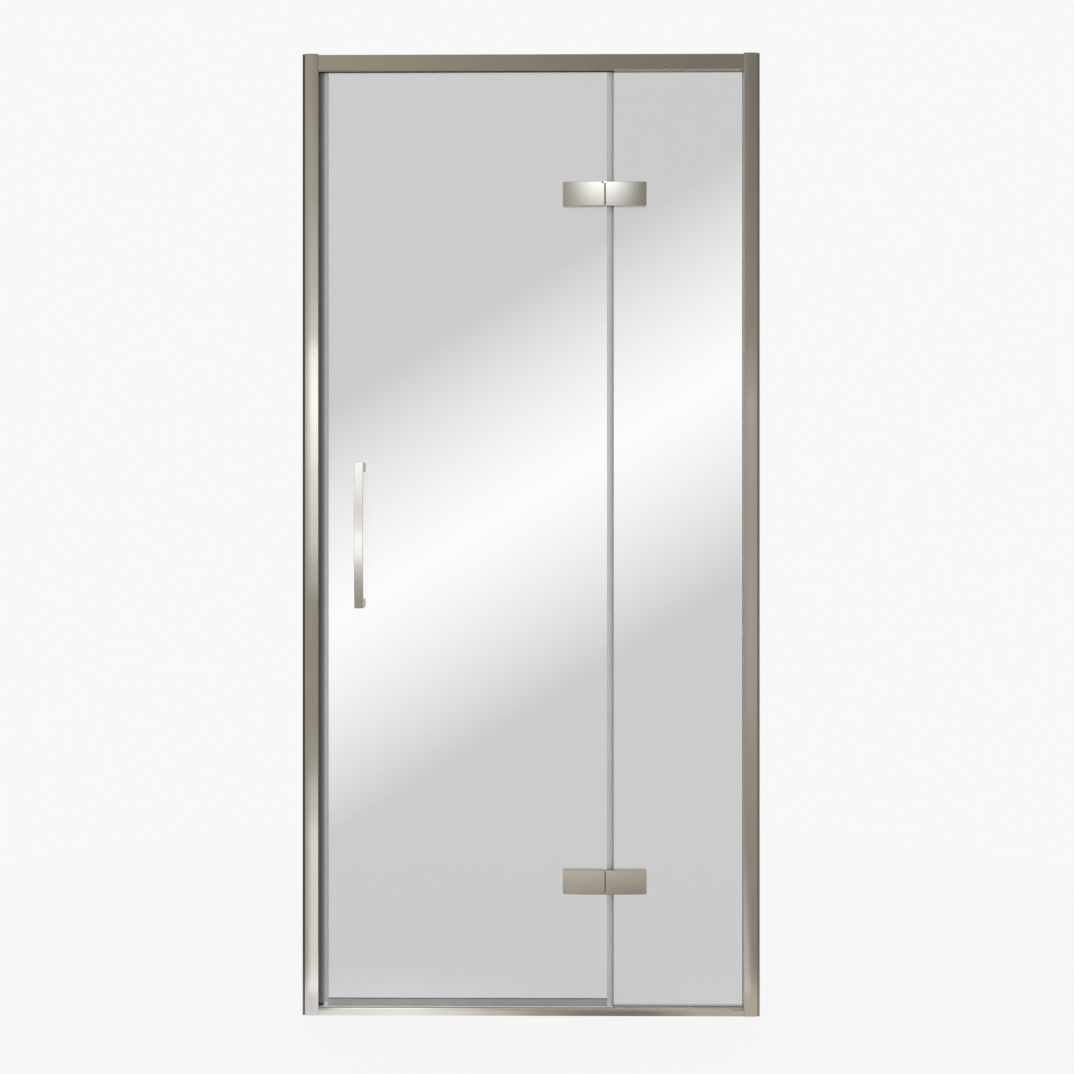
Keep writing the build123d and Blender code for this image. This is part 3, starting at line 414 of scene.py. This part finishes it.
def make_infill():
    """Strip under the top rail: nickel on its front face, and its underside painted dark in the colour of
    dark rubber, as painted shade.
    """
    material, tree = new_material("top_infill_strip")
    # front is one on the front face and nought on faces turned down, which get the dark rubber colour as
    # painted shade
    front = smooth_step(tree, facing_y(tree), *INFILL_FRONT_TURN)
    grain = brushed_grain(tree, GRAIN_LEVEL)
    metal_roughness = around(tree, grain, NICKEL_ROUGHNESS, INFILL_SPREAD)
    shader = add_node(tree, "ShaderNodeBsdfPrincipled",
                      {"Base Color": mix_colour(tree, front, DARK_RUBBER_AND_SHADE, NICKEL),
                       "Metallic": front,
                       "Roughness": mix_value(tree, front, DARK_RUBBER_ROUGHNESS, metal_roughness),
                       "Normal": bumpy_normal(tree, grain, METAL_BUMP)})
    finish_material(tree, shader.outputs[0])
    return material


def make_glass():
    """Toughened glass: polished faces, ground edges with a faint green, and it lets lamps through."""
    material, tree = new_material("clear_glass")
    edge = smooth_step(tree, maths(tree, "ABSOLUTE", facing_y(tree)), *GLASS_EDGE_TURN)
    clear = add_node(tree, "ShaderNodeBsdfPrincipled",
                     {"Base Color": mix_colour(tree, edge, GLASS_TINT, GLASS_EDGE_TINT),
                      "Roughness": smooth_step(tree, edge, 0.0, 1.0, 0.0, GLASS_EDGE_ROUGHNESS),
                      "IOR": GLASS_IOR,
                      "Transmission Weight": 1.0})
    through = add_node(tree, "ShaderNodeBsdfTransparent", {"Color": GLASS_TINT})
    path = add_node(tree, "ShaderNodeLightPath")
    lamp_ray = maths(tree, "MAXIMUM", path.outputs["Is Shadow Ray"], path.outputs["Is Diffuse Ray"])
    mixed = add_node(tree, "ShaderNodeMixShader", {0: lamp_ray, 1: clear.outputs[0], 2: through.outputs[0]})
    finish_material(tree, mixed.outputs[0])
    return material


def materials_by_node():
    """Finishes of single nodes that differ from the rest of their slot."""
    upright = make_nickel("nickel_upright", GRAIN_UPRIGHT)
    # The handle posts get a darker copy of the nickel: painted shade
    posts = make_nickel("post_nickel_painted_shade", GRAIN_SMALL, POST_NICKEL_PAINTED_SHADE, 0.26)
    finishes = {node: upright for node in UPRIGHT_NICKEL}
    finishes.update({
        "handle_post_lower": posts,
        "handle_post_upper": posts,
        "threshold": make_nickel("nickel_level", GRAIN_LEVEL),
        "top_rail": make_nickel("rail_nickel", GRAIN_LEVEL, RAIL_NICKEL),
        # The left wall channel gets a darker copy of the channel metal: painted shade
        "wall_channel_left": make_nickel("left_channel_painted_shade", GRAIN_UPRIGHT, LEFT_CHANNEL_PAINTED_SHADE, 0.34),
        "top_rail_infill": make_infill(),
        "threshold_infill": make_plastic("pale_pvc", PALE_PVC, 0.4),
        "door_magnet_seal": make_magnet_seal(),
        "hinge_side_seal": make_hinge_seal(),
        "drip_seal": make_plastic("drip_pvc", DRIP_PVC, 0.34, alpha=0.8),
        "glazing_gasket_bottom": make_plastic("clear_foot_gasket", FOOT_GASKET, 0.4, alpha=0.35),
    })
    return finishes


def materials_by_slot():
    """Finishes of all other nodes."""
    return {
        "satin_nickel": make_nickel("nickel_small", GRAIN_SMALL),
        "wall_channel_metal": make_nickel("channel_metal", GRAIN_UPRIGHT, CHANNEL_NICKEL, 0.3),
        "steel_fasteners": make_nickel("steel", GRAIN_FINE, STEEL, 0.28),
        "nickel_caps": make_plastic("cap_plastic", CAP_PLASTIC, 0.32),
        "clear_glass": make_glass(),
        "clear_seal": make_plastic("clear_pvc", CLEAR_PVC, 0.3, alpha=0.6),
        "grey_seal": make_plastic("grey_pvc", GREY_PVC, 0.4),
        "magnet_strip": make_plastic("magnet", MAGNET, 0.6),
        "glazing_gasket": make_plastic("clear_gasket", CLEAR_GASKET, 0.45, alpha=0.6),
        "dark_rubber": make_plastic("dark_rubber", DARK_RUBBER_AND_SHADE, DARK_RUBBER_ROUGHNESS),
        "hard_plastic": make_plastic("nylon", NYLON, 0.45),
    }


def dress_frame():
    """Gives every CAD node its finish."""
    by_node = materials_by_node()
    by_slot = materials_by_slot()
    for row in frame["record"]["subparts"]:
        mesh = frame["nodes"][row["node"]].data
        mesh.materials.clear()
        mesh.materials.append(by_node.get(row["node"], by_slot[row["material_slot"]]))


# Stage: floor, studio, light cards and camera

def make_mesh_object(name, vertices, faces, material):
    """A stage object, which is no part of the door."""
    mesh = bpy.data.meshes.new(name)
    mesh.from_pydata(vertices, [], faces)
    mesh.materials.append(material)
    made = bpy.data.objects.new(name, mesh)
    bpy.context.scene.collection.objects.link(made)
    return made


def mirror_ray(tree, path):
    """One for a ray that comes from a reflection, and nought for one that comes through glass."""
    through = maths(tree, "SUBTRACT", 1.0, path.outputs["Is Transmission Ray"])
    return maths(tree, "MULTIPLY", path.outputs["Is Glossy Ray"], through)


def floor_in_mirrors(tree, place):
    """Level and tint of the floor in reflections: a pattern by the threshold, plain further out."""
    axes = add_node(tree, "ShaderNodeSeparateXYZ", {"Vector": place})
    ahead = maths(tree, "MULTIPLY", axes.outputs["Y"], -1.0)
    sheen = profile(tree, axes.outputs["X"], FLOOR_SHEEN)
    open_floor = smooth_step(tree, ahead, *OPEN_FLOOR_REACH, OPEN_FLOOR_LEVEL, STUDIO_LEVEL)
    further = smooth_step(tree, ahead, *FLOOR_SHEEN_END)
    plain = maths(tree, "MAXIMUM", further, smooth_step(tree, axes.outputs["X"], *COOL_FLOOR_END))
    return mix_value(tree, further, sheen, open_floor), mix_colour(tree, plain, COOL_FLOOR, WHITE)


def make_floor_material():
    """Most of the floor's colour is fixed, and the rest takes the object's soft shadow."""
    material, tree = new_material("stage_floor")
    place = add_node(tree, "ShaderNodeTexCoord").outputs["Object"]
    distance = add_node(tree, "ShaderNodeVectorMath", {0: place}, operation="LENGTH").outputs["Value"]
    share = smooth_step(tree, distance, FLOOR_SHADOW_START, FLOOR_SHADOW_END, FLOOR_SHADOW_SHARE, 0.0)
    lit = add_node(tree, "ShaderNodeBsdfDiffuse", {"Color": FLOOR_LIT_COLOUR})
    fixed = add_node(tree, "ShaderNodeEmission", {"Color": WHITE, "Strength": BACKGROUND_LEVEL})
    seen = add_node(tree, "ShaderNodeMixShader", {0: share, 1: fixed.outputs[0], 2: lit.outputs[0]})
    path = add_node(tree, "ShaderNodeLightPath")
    bounce = add_node(tree, "ShaderNodeBsdfDiffuse", {"Color": FLOOR_BOUNCE_COLOUR})
    plain = add_node(tree, "ShaderNodeMixShader",
                     {0: path.outputs["Is Diffuse Ray"], 1: seen.outputs[0], 2: bounce.outputs[0]})
    level, tint = floor_in_mirrors(tree, place)
    mirrored = add_node(tree, "ShaderNodeEmission", {"Color": tint, "Strength": level})
    depth = add_node(tree, "ShaderNodeSeparateXYZ", {"Vector": place}).outputs["Y"]
    in_front = smooth_step(tree, depth, 0.0, FLOOR_FRONT_EDGE)
    by_mirror = maths(tree, "MULTIPLY", mirror_ray(tree, path), in_front)
    whole = add_node(tree, "ShaderNodeMixShader",
                     {0: by_mirror, 1: plain.outputs[0], 2: mirrored.outputs[0]})
    finish_material(tree, whole.outputs[0])
    material.cycles.emission_sampling = "NONE"
    return material


def make_floor():
    """Pale round floor under the door."""
    angles = [2 * math.pi * side / FLOOR_SIDES for side in range(FLOOR_SIDES)]
    rim = [(FLOOR_RADIUS * math.cos(angle), FLOOR_RADIUS * math.sin(angle), 0.0) for angle in angles]
    make_mesh_object("stage_floor", rim, [tuple(range(FLOOR_SIDES))], make_floor_material())


def make_world():
    """Even pale surroundings for the camera, and a soft darker studio in the metal's reflections."""
    world = bpy.data.worlds.new("studio")
    bpy.context.scene.world = world
    world.use_nodes = True
    tree = world.node_tree
    tree.nodes.clear()
    direction = add_node(tree, "ShaderNodeTexCoord").outputs["Generated"]
    axes = add_node(tree, "ShaderNodeSeparateXYZ", {"Vector": direction})
    forward = maths(tree, "MAXIMUM", maths(tree, "MULTIPLY", axes.outputs["Y"], -1.0), LEAST_FORWARD)
    across = maths(tree, "DIVIDE", axes.outputs["X"], forward)
    up = maths(tree, "DIVIDE", axes.outputs["Z"], forward)
    top = smooth_step(tree, across, *STUDIO_TOP_SIDES, STUDIO_TOP_LEFT_LEVEL, STUDIO_TOP_RIGHT_LEVEL)
    studio = mix_value(tree, smooth_step(tree, up, *STUDIO_TOP_HEIGHTS), STUDIO_LEVEL, top)
    behind = smooth_step(tree, axes.outputs["Y"], *STUDIO_BEHIND_TURN)
    mirrored = mix_value(tree, behind, studio, STUDIO_BEHIND_LEVEL)
    path = add_node(tree, "ShaderNodeLightPath")
    level = mix_value(tree, mirror_ray(tree, path), BACKGROUND_LEVEL, mirrored)
    shader = add_node(tree, "ShaderNodeBackground", {"Color": WHITE, "Strength": level})
    add_node(tree, "ShaderNodeOutputWorld", {"Surface": shader.outputs[0]})


def make_card(name, x_span, z_span, place_y, seen_by, level_from, colour):
    """Upright card that only adds light, seen by one kind of ray.

    level_from gives the card's level from the sockets of X and Z.
    """
    material, tree = new_material(name)
    axes = add_node(tree, "ShaderNodeSeparateXYZ", {"Vector": object_place(tree)})
    level = level_from(tree, axes.outputs["X"], axes.outputs["Z"])
    light = add_node(tree, "ShaderNodeEmission", {"Color": colour, "Strength": level})
    clear = add_node(tree, "ShaderNodeBsdfTransparent")
    both = add_node(tree, "ShaderNodeAddShader", {0: light.outputs[0], 1: clear.outputs[0]})
    finish_material(tree, both.outputs[0])
    material.cycles.emission_sampling = "NONE"
    (left, right), (bottom, top) = x_span, z_span
    corners = [(x, place_y, z) for x, z in ((left, bottom), (right, bottom), (right, top), (left, top))]
    card = make_mesh_object(name, corners, [(0, 1, 2, 3)], material)
    for kind in ("camera", "diffuse", "glossy", "transmission", "shadow", "volume_scatter"):
        setattr(card, f"visible_{kind}", kind == seen_by)
    return card


def make_band():
    """The pale diagonal band that shows through both panes."""
    camera_x, camera_y, camera_z = CAMERA_PLACE
    growth = (BAND_CARD_Y - camera_y) / -camera_y

    def behind_glass(x, z):
        """Where a point of the panes' plane is seen on the card."""
        return camera_x + (x - camera_x) * growth, camera_z + (z - camera_z) * growth

    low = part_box("door_glass")[0]
    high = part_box("fixed_glass")[1]
    left, bottom = behind_glass(low[0], low[2])
    right, top = behind_glass(high[0], high[2])
    point_x, point_z = behind_glass(*BAND_POINT)
    upright_half_width = math.hypot(1.0, BAND_SLOPE) * BAND_HALF_WIDTH * growth

    def level(tree, x, z):
        rise = maths(tree, "SUBTRACT", z, point_z)
        run = maths(tree, "MULTIPLY", maths(tree, "SUBTRACT", x, point_x), BAND_SLOPE)
        offset = maths(tree, "ABSOLUTE", maths(tree, "SUBTRACT", rise, run))
        share = maths(tree, "DIVIDE", offset, upright_half_width, clamp=True)
        fall = maths(tree, "POWER", share, BAND_FALL_OFF)
        return maths(tree, "MULTIPLY", maths(tree, "SUBTRACT", 1.0, fall), BAND_LEVEL)

    x_span = (left - BAND_CARD_MARGIN, right + BAND_CARD_MARGIN)
    make_card("stage_band", x_span, (bottom, top), BAND_CARD_Y, "transmission", level, WHITE)


def make_glow(name, nodes, x_span, z_span, level, colour=COOL_LIGHT):
    """Card in front of the first node that shows only in what these nodes mirror."""
    card_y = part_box(nodes[0])[0][1] - GLOW_DISTANCE
    card = make_card(name, x_span, z_span, card_y, "glossy", level, colour)
    receivers = bpy.data.collections.new(f"{name}_receivers")
    for node in nodes:
        receivers.objects.link(frame["nodes"][node])
    card.light_linking.receiver_collection = receivers


def make_strike_jamb_glow():
    """Highlight at hand height and at the foot, which leaves the jamb's outer side darker."""
    low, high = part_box("strike_jamb")
    start, end = (low[0] + offset for offset in STRIKE_JAMB_LEFT)

    def level(tree, x, z):
        from_left = smooth_step(tree, x, start, end, STRIKE_JAMB_LEFT_SHARE, 1.0)
        return maths(tree, "MULTIPLY", profile(tree, z, STRIKE_JAMB_GLOW), from_left)

    x_span = (low[0] - JAMB_CARD_MARGIN, high[0] + JAMB_CARD_MARGIN)
    make_glow("stage_glow_strike", ("strike_jamb", "jamb_cap_left"), x_span, (0.0, high[2]), level)


def make_fixed_jamb_glow():
    """Faint highlight half-way up, and a brighter foot that leans inwards."""
    low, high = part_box("fixed_panel_jamb")
    middle = (low[0] + high[0]) / 2

    def level(tree, x, z):
        inner = smooth_step(tree, x, low[0] + FIXED_JAMB_INNER[0], middle + FIXED_JAMB_INNER[1])
        outer = smooth_step(tree, x, high[0] + FIXED_JAMB_OUTER[0], middle + FIXED_JAMB_OUTER[1])
        sides = maths(tree, "MULTIPLY", inner, outer)
        body = maths(tree, "MULTIPLY", profile(tree, z, FIXED_JAMB_GLOW), sides)
        leaning_x = maths(tree, "ADD", x, maths(tree, "MULTIPLY", z, FIXED_JAMB_FOOT_LEAN))
        foot_side = smooth_step(tree, leaning_x, *(middle + offset for offset in FIXED_JAMB_FOOT_EDGE))
        foot_level = smooth_step(tree, z, *FIXED_JAMB_FOOT_HEIGHTS, 0.0, FIXED_JAMB_FOOT_LEVEL)
        return maths(tree, "ADD", body, maths(tree, "MULTIPLY", foot_level, foot_side))

    x_span = (low[0] - JAMB_CARD_MARGIN, high[0] + JAMB_CARD_MARGIN)
    make_glow("stage_glow_fixed", ("fixed_panel_jamb",), x_span, (0.0, high[2]), level)


def make_handle_glow():
    """Two highlights on the bowed handle, with its foot left dark."""
    low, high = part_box("handle_bar")

    def level(tree, x, z):
        return profile(tree, z, HANDLE_GLOW)

    x_span = (low[0] - HANDLE_CARD_SIDES[0], high[0] + HANDLE_CARD_SIDES[1])
    z_span = (low[2] - HANDLE_CARD_HEIGHTS[0], high[2] + HANDLE_CARD_HEIGHTS[1])
    nodes = ("handle_bar", "handle_post_lower", "handle_post_upper")
    make_glow("stage_glow_handle", nodes, x_span, z_span, level)


def make_hinge_glow(name, hinge, level_between, colour):
    """Card for both leaves of a hinge. level_between gets the slit's X and where the leaf's ends mirror."""
    low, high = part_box(f"{hinge}_door_leaf")
    shift = GLOW_DISTANCE * (high[2] - CAMERA_PLACE[2]) / -CAMERA_PLACE[1]
    foot, head = low[2] + shift, high[2] + shift
    x_span = (low[0] - HINGE_CARD_SIDES[0], high[0] + HINGE_CARD_SIDES[1])
    z_span = (foot - HINGE_CARD_HEIGHT, head + HINGE_CARD_HEIGHT)
    nodes = (f"{hinge}_door_leaf", f"{hinge}_frame_leaf")
    make_glow(name, nodes, x_span, z_span, level_between(high[0], foot, head), colour)


def upper_hinge_level(slit, foot, head):
    """Bright round the slit, more so towards the head."""
    def level(tree, x, z):
        left = smooth_step(tree, x, *(slit + offset for offset in UPPER_HINGE_LEFT))
        right = smooth_step(tree, x, *(slit + offset for offset in UPPER_HINGE_RIGHT))
        upwards = straight_step(tree, z, foot, head, *UPPER_HINGE_GLOW)
        return maths(tree, "MULTIPLY", maths(tree, "MULTIPLY", left, right), upwards)
    return level


def lower_hinge_level(slit, foot, head):
    """Faint light that grows upwards and to the left."""
    def level(tree, x, z):
        places = (slit + offset for offset in LOWER_HINGE_SIDE)
        side = smooth_step(tree, x, *places, 0.0, LOWER_HINGE_SIDE_LEVEL)
        upwards = straight_step(tree, z, foot, head, *LOWER_HINGE_GLOW)
        return maths(tree, "ADD", upwards, side)
    return level


def make_threshold_glow():
    """Light on the left of the threshold's upper face, and a little on the right."""
    low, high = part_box("threshold")

    def level(tree, x, z):
        foot = smooth_step(tree, z, *THRESHOLD_CARD_FOOT)
        return maths(tree, "MULTIPLY", profile(tree, x, THRESHOLD_GLOW), foot)

    nodes = ("threshold", "threshold_infill")
    make_glow("stage_glow_threshold", nodes, (low[0], high[0]), THRESHOLD_CARD_HEIGHTS, level)


def make_camera():
    """The photograph's camera. The lens shift brings the turned view back to the door."""
    data = bpy.data.cameras.new("camera")
    data.lens = CAMERA_LENS_MM
    data.sensor_width = CAMERA_SENSOR_MM
    data.shift_x = math.tan(CAMERA_TURN) * CAMERA_LENS_MM / CAMERA_SENSOR_MM
    camera = bpy.data.objects.new("camera", data)
    camera.location = CAMERA_PLACE
    camera.rotation_euler = (math.radians(90.0), 0.0, CAMERA_TURN)
    bpy.context.scene.collection.objects.link(camera)
    bpy.context.scene.camera = camera


clear_startup_objects()
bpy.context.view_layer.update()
bpy.context.scene.view_settings.view_transform = "Standard"
make_camera()
make_world()
make_floor()
dress_frame()
make_band()
make_strike_jamb_glow()
make_fixed_jamb_glow()
make_handle_glow()
make_hinge_glow("stage_glow_upper_hinge", "upper_hinge", upper_hinge_level, COOL_LIGHT)
make_hinge_glow("stage_glow_lower_hinge", "lower_hinge", lower_hinge_level, WHITE)
make_threshold_glow()
